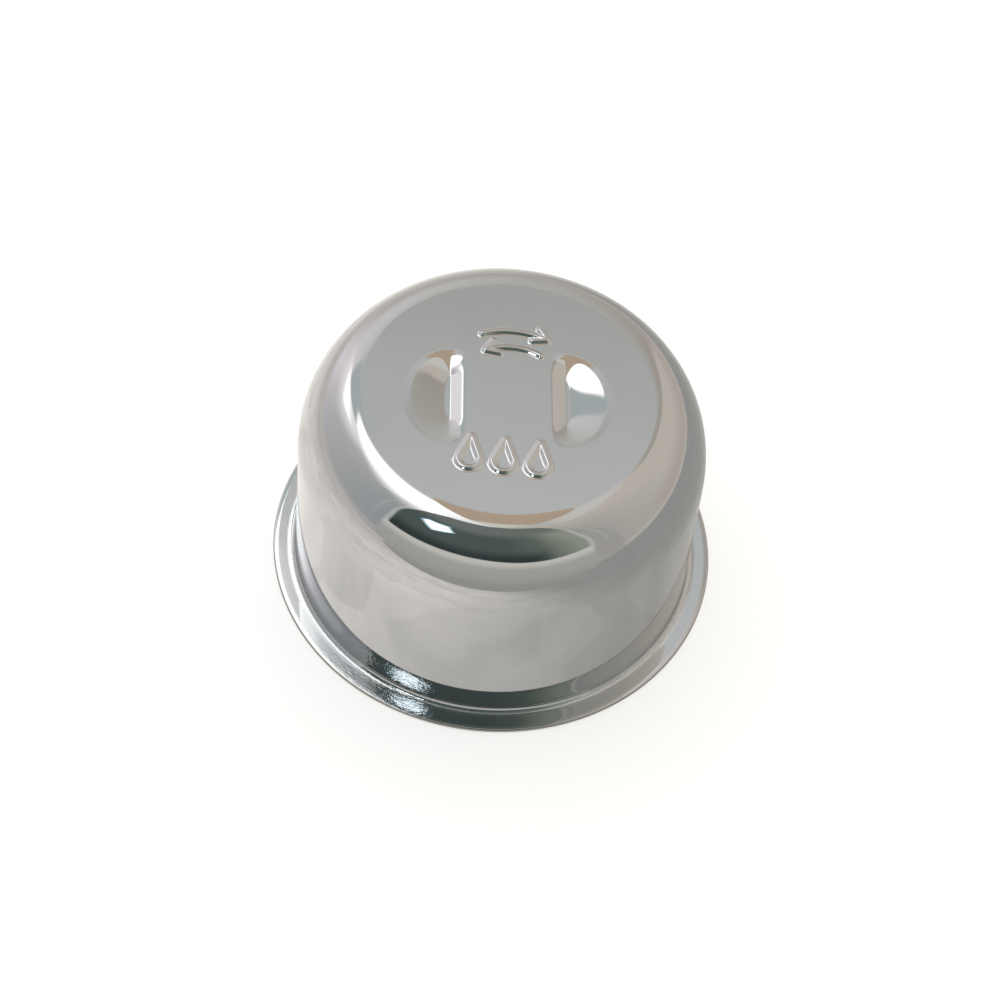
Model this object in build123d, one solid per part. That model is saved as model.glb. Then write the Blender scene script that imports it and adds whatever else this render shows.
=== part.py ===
from build123d import *
from math import acos, atan2, cos, degrees, hypot, sin, sqrt
import os

# Twist-on breather cap for an engine's oil filler tube, in millimetres.
# The origin is the centre of the brim's underside, and +Z points up along the cap's axis.
# The grip bar between the two finger pockets runs nearly along Y.

# Outer shell, one deep-drawn sheet
shell_sheet = 0.7
cap_height = 42.5
foot_bend = 1.0
brim_width = 4.0
brim_edge_round = 0.3
wall_draft = 0.6
shoulder_width = 10.2
shoulder_height = 14.5

# Finger pockets pressed into the crown, one each side of the grip bar
grip_bar_width = 14.6
grip_turn = 5.0
pocket_reach = 10.1
pocket_front_reach = 10.2
pocket_back_reach = 9.2
pocket_corner = 3.0
pocket_depth = 1.1
pocket_wall_run = 2.45
pocket_floor_width = 1.2
pocket_front_run = 5.2
pocket_back_run = 6.0
pocket_floor_corner = 0.5
pocket_rim_round = 1.0
pocket_foot_round = 0.8
pocket_inside_share = 0.45

# Neck socket that slides over the filler tube, open downwards
socket_sheet = 0.8
socket_bore_radius = 19.0
socket_mouth_z = 1.2
socket_mouth_bend = 0.8
socket_bore_depth = 10.8
seal_pocket_step = 0.9
socket_corner = 0.9
vent_radius = 8.0

# Two J-shaped slots that take the filler tube's studs
stud_slot_width = 5.0
stud_slot_rise = 7.0
stud_slot_band = 3.75
stud_slot_turn = 36.0
stud_slot_detent = 0.8
stud_relief = 1.8

# Seal stack in the socket's pocket
seal_clearance = 0.1
gasket_thickness = 2.6
gasket_width = 5.6
washer_thickness = 0.6
washer_inset = 0.6
spring_washer_space = 1.8
spring_washer_sheet = 0.5
spring_washer_clearance = 0.05

# Rivets that join the socket's flange to the base plate
socket_rivet_count = 6
socket_rivet_shank = 0.9
rivet_head_radius = 1.3
rivet_head_height = 0.7
rivet_margin = 0.1
rivet_seat_gap = 0.02

# Base plate, a shallow pan pressed into the foot of the shell
base_sheet = 0.8
base_hole_clearance = 0.4
base_lip_height = 1.6
base_lip_round = 0.4
base_skirt_height = 6.0
base_bend = 1.0
base_fit = 0.05
base_hole_round = 0.3

# Air inlets in the base plate, their gauze, and the flat ring that holds it down
inlet_count = 12
inlet_width = 3.2
inlet_length = 4.55
inlet_margin = 0.9
inlet_gauze_thickness = 0.4
gauze_margin = 0.3
gauze_edge_clearance = 0.5
gauze_ring_width = 1.3
gauze_ring_thickness = 0.8
gauze_ring_margin = 0.2

# Splash baffle hung under the vent hole, on three legs
baffle_sheet = 0.6
baffle_recess = 1.6
baffle_leg_count = 3
baffle_leg_width = 5.0
baffle_foot_clearance = 1.0
baffle_foot_edge = 1.6
baffle_rivet_shank = 0.8
baffle_rivet_head = 1.2
baffle_bend_margin = 0.1
baffle_disc_inset = 0.9
baffle_leg_overlap = 1.5

# Stand pipe that leads the vapour to the filter
pipe_sheet = 0.6
pipe_step = 0.2
pipe_flange_edge = 1.8
pipe_slot_count = 10
pipe_slot_width = 2.6
pipe_slot_margin = 3.0

# Filter pack, a slotted basket with gauze sleeves and a knitted wire ring
basket_seal_thickness = 0.8
basket_seal_margin = 0.2
basket_sheet = 0.6
basket_hole_clearance = 0.4
basket_floor_bend = 0.8
basket_wall_slots = 24
basket_wall_slot_width = 2.4
basket_wall_slot_margin = 2.6
basket_floor_slots = 18
basket_floor_slot_width = 2.2
basket_floor_slot_margin = 1.1
basket_floor_slot_edge = 2.4
sleeve_thickness = 0.4
sleeve_clearance = 0.2
media_clearance = 0.25
media_edge_round = 1.2
lid_sheet = 0.8
lid_lip_depth = 2.2
lid_clearance = 0.1
lid_shell_gap = 1.5

# Bowed leaf spring that holds the filter pack down
leaf_space = 4.5
leaf_sheet = 0.6
leaf_bar_clearance = 2.6
leaf_half_length = 16.0
leaf_clearance = 0.1
leaf_rivet_shank = 1.4
leaf_rivet_head = 2.4
leaf_rivet_height = 0.8

# Small rounds left on cut and bent sheet edges, and how far cutters reach past a surface
cut_edge_round = 0.1
flange_edge_round = 0.2
roof_hole_round = 0.5
gasket_inner_round = 0.4
gasket_outer_round = 0.2
cut_reach = 1.0

# Shell heights that follow
shoulder_start = cap_height - shoulder_height
wall_foot_z = shell_sheet + foot_bend
crown_underside_z = cap_height - shell_sheet

# Socket, seal and base sizes that follow
socket_outer_radius = socket_bore_radius + socket_sheet
socket_flange_top_z = socket_mouth_z + socket_sheet
socket_bore_top_z = socket_mouth_z + socket_bore_depth
seal_pocket_radius = socket_bore_radius + seal_pocket_step
gasket_outer_radius = seal_pocket_radius - seal_clearance
gasket_inner_radius = gasket_outer_radius - gasket_width
washer_inner_radius = gasket_inner_radius + washer_inset
washer_z = socket_bore_top_z + gasket_thickness
spring_washer_z = washer_z + washer_thickness
socket_roof_z = spring_washer_z + spring_washer_space
socket_top_z = socket_roof_z + socket_sheet
pocket_outer_radius = seal_pocket_radius + socket_sheet
stud_slot_top_z = socket_mouth_z + stud_slot_rise
stud_relief_radius = socket_outer_radius + stud_relief
base_hole_radius = stud_relief_radius + base_hole_clearance
base_top_z = socket_flange_top_z + base_sheet
base_lip_radius = base_hole_radius + base_sheet
socket_rivet_circle = base_lip_radius + base_lip_round + rivet_margin + rivet_head_radius
socket_flange_radius = socket_rivet_circle + rivet_head_radius + rivet_margin
gauze_inner_radius = socket_rivet_circle + rivet_head_radius + gauze_margin
gauze_ring_z = base_top_z + inlet_gauze_thickness
gauze_ring_top_z = gauze_ring_z + gauze_ring_thickness
inlet_inner_radius = socket_flange_radius + inlet_margin
inlet_outer_radius = inlet_inner_radius + inlet_length
gauze_ring_inner_radius = inlet_outer_radius + gauze_ring_margin
gauze_outer_radius = gauze_ring_inner_radius + gauze_ring_width

# Shell radii that follow: the foot clears the base plate's skirt
foot_radius = gauze_outer_radius + gauze_edge_clearance + base_sheet + base_fit + shell_sheet
brim_radius = foot_radius + brim_width
crown_radius = foot_radius - wall_draft - shoulder_width

# Baffle and stand pipe sizes that follow
baffle_foot_radius = gasket_inner_radius - baffle_foot_clearance
baffle_rivet_circle = baffle_foot_radius - baffle_foot_edge
baffle_leg_radius = baffle_rivet_circle - baffle_rivet_head - baffle_bend_margin
baffle_radius = baffle_leg_radius - baffle_disc_inset
baffle_z = socket_bore_top_z + baffle_recess
pipe_inner_radius = vent_radius + pipe_step
pipe_outer_radius = pipe_inner_radius + pipe_sheet
pipe_flange_radius = baffle_rivet_circle + pipe_flange_edge
pipe_flange_top_z = socket_top_z + pipe_sheet

# Filter pack sizes that follow
basket_hole_radius = pipe_flange_radius + basket_hole_clearance
basket_seal_inner_radius = basket_hole_radius + basket_hole_clearance
basket_seal_outer_radius = pocket_outer_radius - socket_corner - basket_seal_margin
basket_floor_z = socket_top_z + basket_seal_thickness
basket_floor_top_z = basket_floor_z + basket_sheet
lid_top_z = crown_underside_z - leaf_space
basket_top_z = lid_top_z - lid_sheet
leaf_width = grip_bar_width - 2 * leaf_bar_clearance


def turned(points, corner_radii=None):
    """A ring or disc turned about Z from a closed outline of (radius, height) points."""
    if corner_radii is None:
        outline = Polyline(*points, close=True)
    else:
        outline = FilletPolyline(*points, radius=corner_radii, close=True)
    return revolve(make_face(Plane.XZ * outline), Axis.Z)


def ring(inner_radius, outer_radius, bottom_z, top_z):
    """A plain flat-ended ring about Z."""
    return turned([
        (inner_radius, bottom_z),
        (outer_radius, bottom_z),
        (outer_radius, top_z),
        (inner_radius, top_z),
    ])


def disc_of(radius, bottom_z, top_z):
    """A plain disc about Z."""
    return Pos(0, 0, bottom_z) * extrude(Circle(radius), top_z - bottom_z)


def ring_sector(inner_radius, outer_radius, bottom_z, top_z, start_angle, sweep):
    """Part of a ring, from start_angle on, turning anticlockwise seen from above."""
    section = Polyline(
        (inner_radius, bottom_z),
        (outer_radius, bottom_z),
        (outer_radius, top_z),
        (inner_radius, top_z),
        close=True,
    )
    sector = revolve(make_face(Plane.XZ * section), Axis.Z, revolution_arc=sweep)
    return Rot(0, 0, start_angle) * sector


def radial_slots(count, inner_radius, outer_radius, width, bottom_z, top_z, rounded):
    """Cutters for slots in a flat web that point away from the axis."""
    length = outer_radius - inner_radius
    middle = (outer_radius + inner_radius) / 2
    slot = SlotOverall(length, width) if rounded else Rectangle(length, width)
    cutter = Pos(0, 0, bottom_z) * extrude(slot, top_z - bottom_z)
    return [place * cutter for place in PolarLocations(middle, count)]


def wall_slots(count, radius, width, bottom_z, top_z):
    """Cutters for upright slots through a round wall."""
    through = Rectangle(4 * cut_reach, width)
    cutter = Pos(0, 0, bottom_z) * extrude(through, top_z - bottom_z)
    return [place * cutter for place in PolarLocations(radius, count)]


def rivet(radius, shank_radius, head_radius, head_height, bottom_z, top_z, angle):
    """A solid rivet with a domed head on each side of the sheets between the two heights."""
    crown = head_radius / 2
    low = bottom_z - head_height
    high = top_z + head_height
    low_seat = (head_radius, bottom_z)
    high_seat = (head_radius, top_z)
    profile = (
        Line((0, low), (crown, low))
        + RadiusArc((crown, low), low_seat, -head_radius)
        + Polyline(low_seat, (shank_radius, bottom_z), (shank_radius, top_z), high_seat)
        + RadiusArc(high_seat, (crown, high), -head_radius)
        + Polyline((crown, high), (0, high), (0, low))
    )
    body = revolve(make_face(Plane.XZ * profile), Axis.Z)
    return Rot(0, 0, angle) * Pos(radius, 0, 0) * body


def shoulder_tangent_angle():
    """The ellipse angle, in radians, at which the drafted wall runs into the shoulder."""
    across = (foot_radius - crown_radius) / shoulder_width
    up = (wall_foot_z - shoulder_start) / shoulder_height
    return atan2(up, across) + acos(1 / hypot(across, up))


def wall_radius(z):
    """The shell's outside radius on the drafted wall at height z."""
    angle = shoulder_tangent_angle()
    top_radius = crown_radius + shoulder_width * cos(angle)
    top_z = shoulder_start + shoulder_height * sin(angle)
    return foot_radius + (top_radius - foot_radius) * (z - wall_foot_z) / (top_z - wall_foot_z)


def wall_inside_radius(z):
    """The shell's inside radius on the drafted wall at height z."""
    return wall_radius(z) - shell_sheet


def shoulder_inside_radius(z):
    """The shell's inside radius on the shoulder at height z."""
    up = (z - shoulder_start) / (shoulder_height - shell_sheet)
    return crown_radius + (shoulder_width - shell_sheet) * sqrt(1 - up ** 2)


# The filter basket's radius follows from the shell's inside at the height of its lid
basket_radius = shoulder_inside_radius(lid_top_z) - lid_shell_gap - basket_sheet - lid_clearance


def hat_outline(inset):
    """Half section of the drawn hat without its brim, moved inwards by inset."""
    angle = shoulder_tangent_angle()
    centre = (crown_radius, shoulder_start)
    width = shoulder_width - inset
    height = shoulder_height - inset
    start = degrees(angle)
    shoulder = EllipticalCenterArc(centre, width, height, start, arc_size=90 - start)
    wall = Line((foot_radius - inset, wall_foot_z), shoulder @ 0)
    crown = Line(shoulder @ 1, (0, shoulder_start + height))
    return wall + shoulder + crown


def pocket_outline(near, far, low, high, corner, z):
    """D-shaped outline: straight beside the grip bar, elliptical on the far side."""
    middle = (low + high) / 2
    bar_side = Line((near, low + corner), (near, high - corner))
    high_corner = RadiusArc((near, high - corner), (near + corner, high), corner)
    low_corner = RadiusArc((near + corner, low), (near, low + corner), corner)
    far_side = EllipticalCenterArc(
        (near + corner, middle), far - near - corner, (high - low) / 2, -90, arc_size=180
    )
    return Pos(0, 0, z) * make_face(bar_side + high_corner + far_side + low_corner)


def pocket_cutter(side, grow, drop):
    """The pocket's form: a steep wall at the bar and a ramp that rises away from it."""
    near = grip_bar_width / 2
    floor_near = near + pocket_wall_run
    rim = pocket_outline(
        near - grow,
        near + pocket_reach + grow,
        -pocket_front_reach - grow,
        pocket_back_reach + grow,
        pocket_corner + grow,
        cap_height - drop,
    )
    floor = pocket_outline(
        floor_near - grow,
        floor_near + pocket_floor_width + grow,
        -pocket_front_reach + pocket_front_run - grow,
        pocket_back_reach - pocket_back_run + grow,
        pocket_floor_corner + grow,
        cap_height - drop - pocket_depth,
    )
    scoop = loft([rim, floor], ruled=True)
    opening = extrude(rim, shell_sheet + cut_reach)
    cutter = scoop + opening
    if side < 0:
        cutter = mirror(cutter, Plane.YZ)
    return Rot(0, 0, grip_turn) * cutter


def edges_at(solid, z):
    """The edges that lie flat at height z."""
    return solid.edges().filter_by_position(Axis.Z, z - 0.01, z + 0.01)


def make_outer_shell():
    """The chromed hat: flat crown with two finger pockets, round shoulder, drafted wall, flat brim."""
    brim_top = shell_sheet
    foot = (foot_radius + foot_bend, brim_top)
    brim = FilletPolyline(
        (0, 0), (brim_radius, 0), (brim_radius, brim_top), foot, radius=brim_edge_round
    )
    outside = (
        brim
        + RadiusArc(foot, (foot_radius, wall_foot_z), foot_bend)
        + hat_outline(0)
        + Line((0, cap_height), (0, 0))
    )
    hat = revolve(make_face(Plane.XZ * outside), Axis.Z)
    pockets = [pocket_cutter(side, 0, 0) for side in (-1, 1)]
    hat = hat - pockets
    rim_edges = [edge for edge in edges_at(hat, cap_height) if edge.bounding_box().diagonal < crown_radius]
    hat = fillet(rim_edges, pocket_rim_round)
    hat = fillet(edges_at(hat, cap_height - pocket_depth), pocket_foot_round)

    inside_foot = foot_radius - shell_sheet
    inside_bend_start = (inside_foot + wall_foot_z, 0)
    inside = (
        Polyline((0, -cut_reach), (inside_foot + wall_foot_z, -cut_reach), inside_bend_start)
        + RadiusArc(inside_bend_start, (inside_foot, wall_foot_z), wall_foot_z)
        + hat_outline(shell_sheet)
        + Line((0, crown_underside_z), (0, -cut_reach))
    )
    cavity = revolve(make_face(Plane.XZ * inside), Axis.Z)
    pocket_grow = shell_sheet * pocket_inside_share
    cavity = cavity - [pocket_cutter(side, pocket_grow, shell_sheet) for side in (-1, 1)]

    return hat - cavity


def make_base_plate():
    """A pan with a turned-up skirt that is pressed into the shell, and air inlets in its web."""
    skirt_top = base_top_z + base_skirt_height
    outside_low = wall_inside_radius(socket_flange_top_z) - base_fit
    outside_high = wall_inside_radius(skirt_top) - base_fit
    lip_top = base_top_z + base_lip_height
    pan = turned(
        [
            (base_hole_radius, socket_flange_top_z),
            (outside_low, socket_flange_top_z),
            (outside_high, skirt_top),
            (outside_high - base_sheet, skirt_top),
            (outside_low - base_sheet, base_top_z),
            (base_lip_radius, base_top_z),
            (base_lip_radius, lip_top),
            (base_hole_radius, lip_top),
        ],
        [
            base_hole_round, base_bend, cut_edge_round, cut_edge_round,
            base_lip_round, base_lip_round, cut_edge_round, cut_edge_round,
        ],
    )
    inlets = radial_slots(
        inlet_count, inlet_inner_radius, inlet_outer_radius, inlet_width,
        socket_flange_top_z - cut_reach, base_top_z + cut_reach, True,
    )
    return pan - inlets - rivet_holes()


def rivet_places():
    """Angles of the rivets round the socket's flange."""
    step = 360 / socket_rivet_count
    return [step * (i + 0.5) for i in range(socket_rivet_count)]


def rivet_holes():
    """Cutters for the holes that the flange rivets fill."""
    hole = disc_of(socket_rivet_shank, socket_mouth_z - cut_reach, base_top_z + cut_reach)
    return [Rot(0, 0, angle) * Pos(socket_rivet_circle, 0, 0) * hole for angle in rivet_places()]


def make_socket_rivets():
    """Rivets through the socket's flange and the base plate."""
    return [
        rivet(socket_rivet_circle, socket_rivet_shank, rivet_head_radius, rivet_head_height,
              socket_mouth_z, base_top_z, angle)
        for angle in rivet_places()
    ]


def stud_slot(start_angle):
    """Cutter for one J-shaped slot: up from the mouth, round, and back to a detent."""
    half_angle = degrees(atan2(stud_slot_width / 2, socket_bore_radius))
    first = start_angle - half_angle
    band_z = stud_slot_top_z - stud_slot_band
    inner = socket_bore_radius - cut_reach
    outer = socket_outer_radius + base_hole_clearance
    below = socket_mouth_z - cut_reach
    relief_top = socket_flange_top_z + cut_edge_round
    relief = ring_sector(inner, stud_relief_radius, below, relief_top, first, 2 * half_angle)
    upright = ring_sector(inner, outer, below, stud_slot_top_z, first, 2 * half_angle)
    band = ring_sector(inner, outer, band_z, stud_slot_top_z, first, stud_slot_turn)
    detent = ring_sector(
        inner, outer, band_z - stud_slot_detent, stud_slot_top_z,
        first + stud_slot_turn - 2 * half_angle, 2 * half_angle,
    )
    return relief + upright + band + detent


def baffle_rivet_places():
    """Angles of the rivets through the baffle's feet."""
    return [360 / baffle_leg_count * i + 90 for i in range(baffle_leg_count)]


def baffle_rivet_holes():
    """Cutters for the holes that the baffle rivets fill."""
    bottom = socket_roof_z - 2 * baffle_sheet
    top = pipe_flange_top_z + pipe_sheet
    hole = disc_of(baffle_rivet_shank, bottom, top)
    places = baffle_rivet_places()
    return [Rot(0, 0, angle) * Pos(baffle_rivet_circle, 0, 0) * hole for angle in places]


def make_neck_socket():
    """A drawn cup, mouth down: flange, bore with two J-shaped slots, wider seal pocket, vented roof."""
    step_under_z = socket_bore_top_z - socket_sheet
    cup = turned(
        [
            (vent_radius, socket_roof_z),
            (seal_pocket_radius, socket_roof_z),
            (seal_pocket_radius, socket_bore_top_z),
            (socket_bore_radius, socket_bore_top_z),
            (socket_bore_radius, socket_mouth_z),
            (socket_flange_radius, socket_mouth_z),
            (socket_flange_radius, socket_flange_top_z),
            (socket_outer_radius, socket_flange_top_z),
            (socket_outer_radius, step_under_z),
            (pocket_outer_radius, step_under_z),
            (pocket_outer_radius, socket_top_z),
            (vent_radius, socket_top_z),
        ],
        [
            cut_edge_round, cut_edge_round, cut_edge_round, cut_edge_round,
            socket_mouth_bend, flange_edge_round, flange_edge_round, cut_edge_round,
            cut_edge_round, roof_hole_round, socket_corner, cut_edge_round,
        ],
    )
    slots = [stud_slot(0), stud_slot(180)]
    return cup - slots - rivet_holes() - baffle_rivet_holes()


def make_filler_gasket():
    """Rubber ring that seals on the filler tube's rim, snapped into the socket's pocket."""
    return turned(
        [
            (gasket_inner_radius, socket_bore_top_z),
            (gasket_outer_radius, socket_bore_top_z),
            (gasket_outer_radius, washer_z),
            (gasket_inner_radius, washer_z),
        ],
        [gasket_inner_round, gasket_outer_round, gasket_outer_round, gasket_inner_round],
    )


def make_gasket_washer():
    """Flat steel washer that spreads the spring's load over the gasket."""
    return ring(washer_inner_radius, gasket_outer_radius, washer_z, spring_washer_z)


def make_spring_washer():
    """Spring washer bowed about one diameter, between the flat washer and the socket's roof."""
    outer = gasket_outer_radius - 2 * seal_clearance
    bottom = spring_washer_z + spring_washer_clearance
    top = socket_roof_z - spring_washer_clearance
    rise = top - bottom - spring_washer_sheet
    bow_radius = (outer ** 2 + rise ** 2) / (2 * rise)
    centre = Plane.XZ * Pos(0, top - spring_washer_sheet - bow_radius)
    bow = extrude(centre * Circle(bow_radius + spring_washer_sheet), outer + cut_reach, both=True)
    bow -= extrude(centre * Circle(bow_radius), outer + 2 * cut_reach, both=True)
    return ring(washer_inner_radius, outer, bottom, top + cut_reach) & bow


def make_splash_baffle():
    """Disc that stops splashed oil, with three legs bent up to feet under the socket's roof."""
    disc = disc_of(baffle_radius, baffle_z, baffle_z + baffle_sheet)
    root = baffle_radius - baffle_leg_overlap
    leg_inside = baffle_leg_radius - baffle_sheet
    leg_outline = Polyline(
        (root, baffle_z),
        (baffle_leg_radius, baffle_z),
        (baffle_leg_radius, socket_roof_z - baffle_sheet),
        (baffle_foot_radius, socket_roof_z - baffle_sheet),
        (baffle_foot_radius, socket_roof_z),
        (leg_inside, socket_roof_z),
        (leg_inside, baffle_z + baffle_sheet),
        (root, baffle_z + baffle_sheet),
        close=True,
    )
    leg = extrude(make_face(Plane.XZ * leg_outline), baffle_leg_width / 2, both=True)
    legs = [Rot(0, 0, angle) * leg for angle in baffle_rivet_places()]
    return disc + legs - baffle_rivet_holes()


def make_baffle_rivets():
    """Rivets through the baffle's feet, the socket's roof and the stand pipe's flange."""
    return [
        rivet(baffle_rivet_circle, baffle_rivet_shank, baffle_rivet_head, rivet_head_height,
              socket_roof_z - baffle_sheet, pipe_flange_top_z, angle)
        for angle in baffle_rivet_places()
    ]


def make_stand_pipe():
    """Flanged, slotted pipe from the socket's roof to the lid of the filter basket."""
    pipe = turned([
        (pipe_inner_radius, socket_top_z),
        (pipe_flange_radius, socket_top_z),
        (pipe_flange_radius, pipe_flange_top_z),
        (pipe_outer_radius, pipe_flange_top_z),
        (pipe_outer_radius, basket_top_z),
        (pipe_inner_radius, basket_top_z),
    ])
    slots = wall_slots(
        pipe_slot_count, pipe_outer_radius, pipe_slot_width,
        pipe_flange_top_z + pipe_slot_margin, basket_top_z - pipe_slot_margin,
    )
    return pipe - slots - baffle_rivet_holes()


def make_filter_basket():
    """Slotted sheet basket that stands on the socket and holds the filter ring."""
    inner = basket_radius - basket_sheet
    basket = turned(
        [
            (basket_hole_radius, basket_floor_z),
            (basket_radius, basket_floor_z),
            (basket_radius, basket_top_z),
            (inner, basket_top_z),
            (inner, basket_floor_top_z),
            (basket_hole_radius, basket_floor_top_z),
        ],
        [
            cut_edge_round, basket_floor_bend, cut_edge_round,
            cut_edge_round, flange_edge_round, cut_edge_round,
        ],
    )
    wall = wall_slots(
        basket_wall_slots, basket_radius, basket_wall_slot_width,
        basket_floor_top_z + basket_wall_slot_margin, basket_top_z - basket_wall_slot_margin,
    )
    floor = radial_slots(
        basket_floor_slots, pocket_outer_radius + basket_floor_slot_margin,
        basket_radius - basket_floor_slot_edge, basket_floor_slot_width,
        basket_floor_z - cut_reach, basket_floor_top_z + cut_reach, False,
    )
    return basket - wall - floor


def make_outer_gauze():
    """Fine gauze sleeve that lines the basket's wall."""
    outer = basket_radius - basket_sheet - sleeve_clearance
    return ring(outer - sleeve_thickness, outer, basket_floor_top_z, basket_top_z - sleeve_clearance)


def make_inner_gauze():
    """Fine gauze sleeve round the plenum of the stand pipe."""
    inner = basket_hole_radius + sleeve_clearance
    return ring(inner, inner + sleeve_thickness, basket_floor_top_z, basket_top_z - sleeve_clearance)


def make_filter_mesh():
    """The knitted wire ring, packed between the two gauze sleeves."""
    inner = basket_hole_radius + sleeve_clearance + sleeve_thickness + media_clearance
    outer = basket_radius - basket_sheet - sleeve_clearance - sleeve_thickness - media_clearance
    top = basket_top_z - media_clearance
    return turned(
        [(inner, basket_floor_top_z), (outer, basket_floor_top_z), (outer, top), (inner, top)],
        media_edge_round,
    )


def make_basket_lid():
    """Flat lid with a turned-down lip over the basket's wall."""
    lip_inner = basket_radius + lid_clearance
    lip_outer = lip_inner + basket_sheet
    lid = turned([
        (0, basket_top_z),
        (lip_inner, basket_top_z),
        (lip_inner, basket_top_z - lid_lip_depth),
        (lip_outer, basket_top_z - lid_lip_depth),
        (lip_outer, lid_top_z),
        (0, lid_top_z),
    ])
    return lid - disc_of(leaf_rivet_shank, basket_top_z - cut_reach, lid_top_z + cut_reach)


def leaf_bow():
    """Rise and bow radius of the leaf spring's underside."""
    rise = crown_underside_z - leaf_clearance - leaf_sheet - lid_top_z
    return rise, (leaf_half_length ** 2 + rise ** 2) / (2 * rise)


def make_hold_down_spring():
    """Leaf spring, bowed upwards from its riveted middle to its ends under the grip bar."""
    rise, bow_radius = leaf_bow()
    centre_z = lid_top_z + bow_radius
    side = Plane.YZ * Pos(0, centre_z)
    strip = extrude(side * Circle(bow_radius), leaf_width / 2, both=True)
    strip -= extrude(side * Circle(bow_radius - leaf_sheet), leaf_width, both=True)
    top = crown_underside_z - leaf_clearance
    block = Box(
        leaf_width, 2 * leaf_half_length, top - lid_top_z,
        align=(Align.CENTER, Align.CENTER, Align.MIN),
    )
    leaf = strip & Pos(0, 0, lid_top_z) * block
    leaf -= disc_of(leaf_rivet_shank, lid_top_z - cut_reach, lid_top_z + leaf_sheet + cut_reach)
    return Rot(0, 0, grip_turn) * leaf


def make_spring_rivet():
    """Rivet that holds the leaf spring's middle to the lid."""
    _, bow_radius = leaf_bow()
    seat_rise = bow_radius - sqrt(bow_radius ** 2 - leaf_rivet_head ** 2)
    seat_z = lid_top_z + leaf_sheet + seat_rise + rivet_seat_gap
    return rivet(0, leaf_rivet_shank, leaf_rivet_head, leaf_rivet_height, basket_top_z, seat_z, 0)


def make_basket_seal():
    """Fibre ring between the socket's roof and the basket's floor."""
    return ring(basket_seal_inner_radius, basket_seal_outer_radius, socket_top_z, basket_floor_z)


def make_inlet_gauze():
    """Woven wire ring over the air inlets, inside the base plate."""
    return ring(gauze_inner_radius, gauze_outer_radius, base_top_z, gauze_ring_z)


def make_gauze_ring():
    """Flat ring that holds the inlet gauze down at its edge."""
    return ring(gauze_ring_inner_radius, gauze_outer_radius, gauze_ring_z, gauze_ring_top_z)


makers = {
    "outer_shell": make_outer_shell,
    "base_plate": make_base_plate,
    "inlet_gauze": make_inlet_gauze,
    "gauze_ring": make_gauze_ring,
    "neck_socket": make_neck_socket,
    "socket_rivets": make_socket_rivets,
    "filler_gasket": make_filler_gasket,
    "gasket_washer": make_gasket_washer,
    "spring_washer": make_spring_washer,
    "splash_baffle": make_splash_baffle,
    "baffle_rivets": make_baffle_rivets,
    "stand_pipe": make_stand_pipe,
    "basket_seal": make_basket_seal,
    "filter_basket": make_filter_basket,
    "outer_gauze": make_outer_gauze,
    "filter_mesh": make_filter_mesh,
    "inner_gauze": make_inner_gauze,
    "basket_lid": make_basket_lid,
    "hold_down_spring": make_hold_down_spring,
    "spring_rivet": make_spring_rivet,
}

os.makedirs("parts", exist_ok=True)
for name, make in makers.items():
    made = make()
    solids = made if isinstance(made, list) else [made]
    node = Compound(children=[s for piece in solids for s in piece.solids()])
    export_step(node, f"parts/{name}.step")
    print(name, len(node.solids()), round(node.volume, 1))
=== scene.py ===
# %% [markdown]
# # A chromed breather cap for an oil filler tube
# The real cap is a hat of thin chromed sheet, pressed over a zinc plated base plate with a
# twist-on socket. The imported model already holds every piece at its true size.
# This lesson dresses that model: it loads the pieces as a fixed frame, gives each one its finish,
# and remakes the two pieces whose look depends on finer form than the frame carries.

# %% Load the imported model
from math import acos, atan2, cos, hypot, pi, radians, sin, sqrt

import bmesh
import bpy
import numpy as np
from mathutils import Matrix, Vector


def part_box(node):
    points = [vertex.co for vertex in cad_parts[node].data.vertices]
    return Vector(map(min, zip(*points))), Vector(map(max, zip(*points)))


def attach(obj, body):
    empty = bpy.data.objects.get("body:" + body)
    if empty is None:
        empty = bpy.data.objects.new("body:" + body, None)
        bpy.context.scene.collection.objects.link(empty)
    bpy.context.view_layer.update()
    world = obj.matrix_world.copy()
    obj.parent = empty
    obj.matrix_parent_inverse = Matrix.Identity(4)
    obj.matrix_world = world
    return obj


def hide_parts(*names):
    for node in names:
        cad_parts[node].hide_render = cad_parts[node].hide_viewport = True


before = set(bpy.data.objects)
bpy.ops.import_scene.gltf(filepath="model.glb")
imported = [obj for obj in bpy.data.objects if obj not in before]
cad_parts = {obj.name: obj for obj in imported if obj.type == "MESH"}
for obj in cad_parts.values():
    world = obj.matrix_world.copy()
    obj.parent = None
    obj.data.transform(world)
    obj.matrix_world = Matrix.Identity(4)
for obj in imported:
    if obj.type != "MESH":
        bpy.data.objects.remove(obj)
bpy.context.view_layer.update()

print("pieces in the frame:", ", ".join(sorted(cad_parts)))

# %% [markdown]
# ## Sizes
# Blender works in metres, but the drawing of a cap is in millimetres, so one value turns one into
# the other. The outer sizes are read from the frame, so that the dressed shell can't drift away
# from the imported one. The rest are the drawing's own sizes of the sheet, bends and pockets.

# %% Sizes of the shell
MM = 0.001
shell_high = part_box("outer_shell")[1]
brim_radius = shell_high.x / MM
cap_height = shell_high.z / MM
brim_width = 4.0
shell_sheet = 0.7
foot_bend = 1.0
brim_edge_round = 0.3
wall_draft = 0.6
shoulder_width = 10.2
shoulder_height = 14.5
foot_radius = brim_radius - brim_width
wall_foot_z = shell_sheet + foot_bend
crown_radius = foot_radius - wall_draft - shoulder_width
shoulder_start = cap_height - shoulder_height
print("brim radius", round(brim_radius, 2), "height", round(cap_height, 2))

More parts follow.
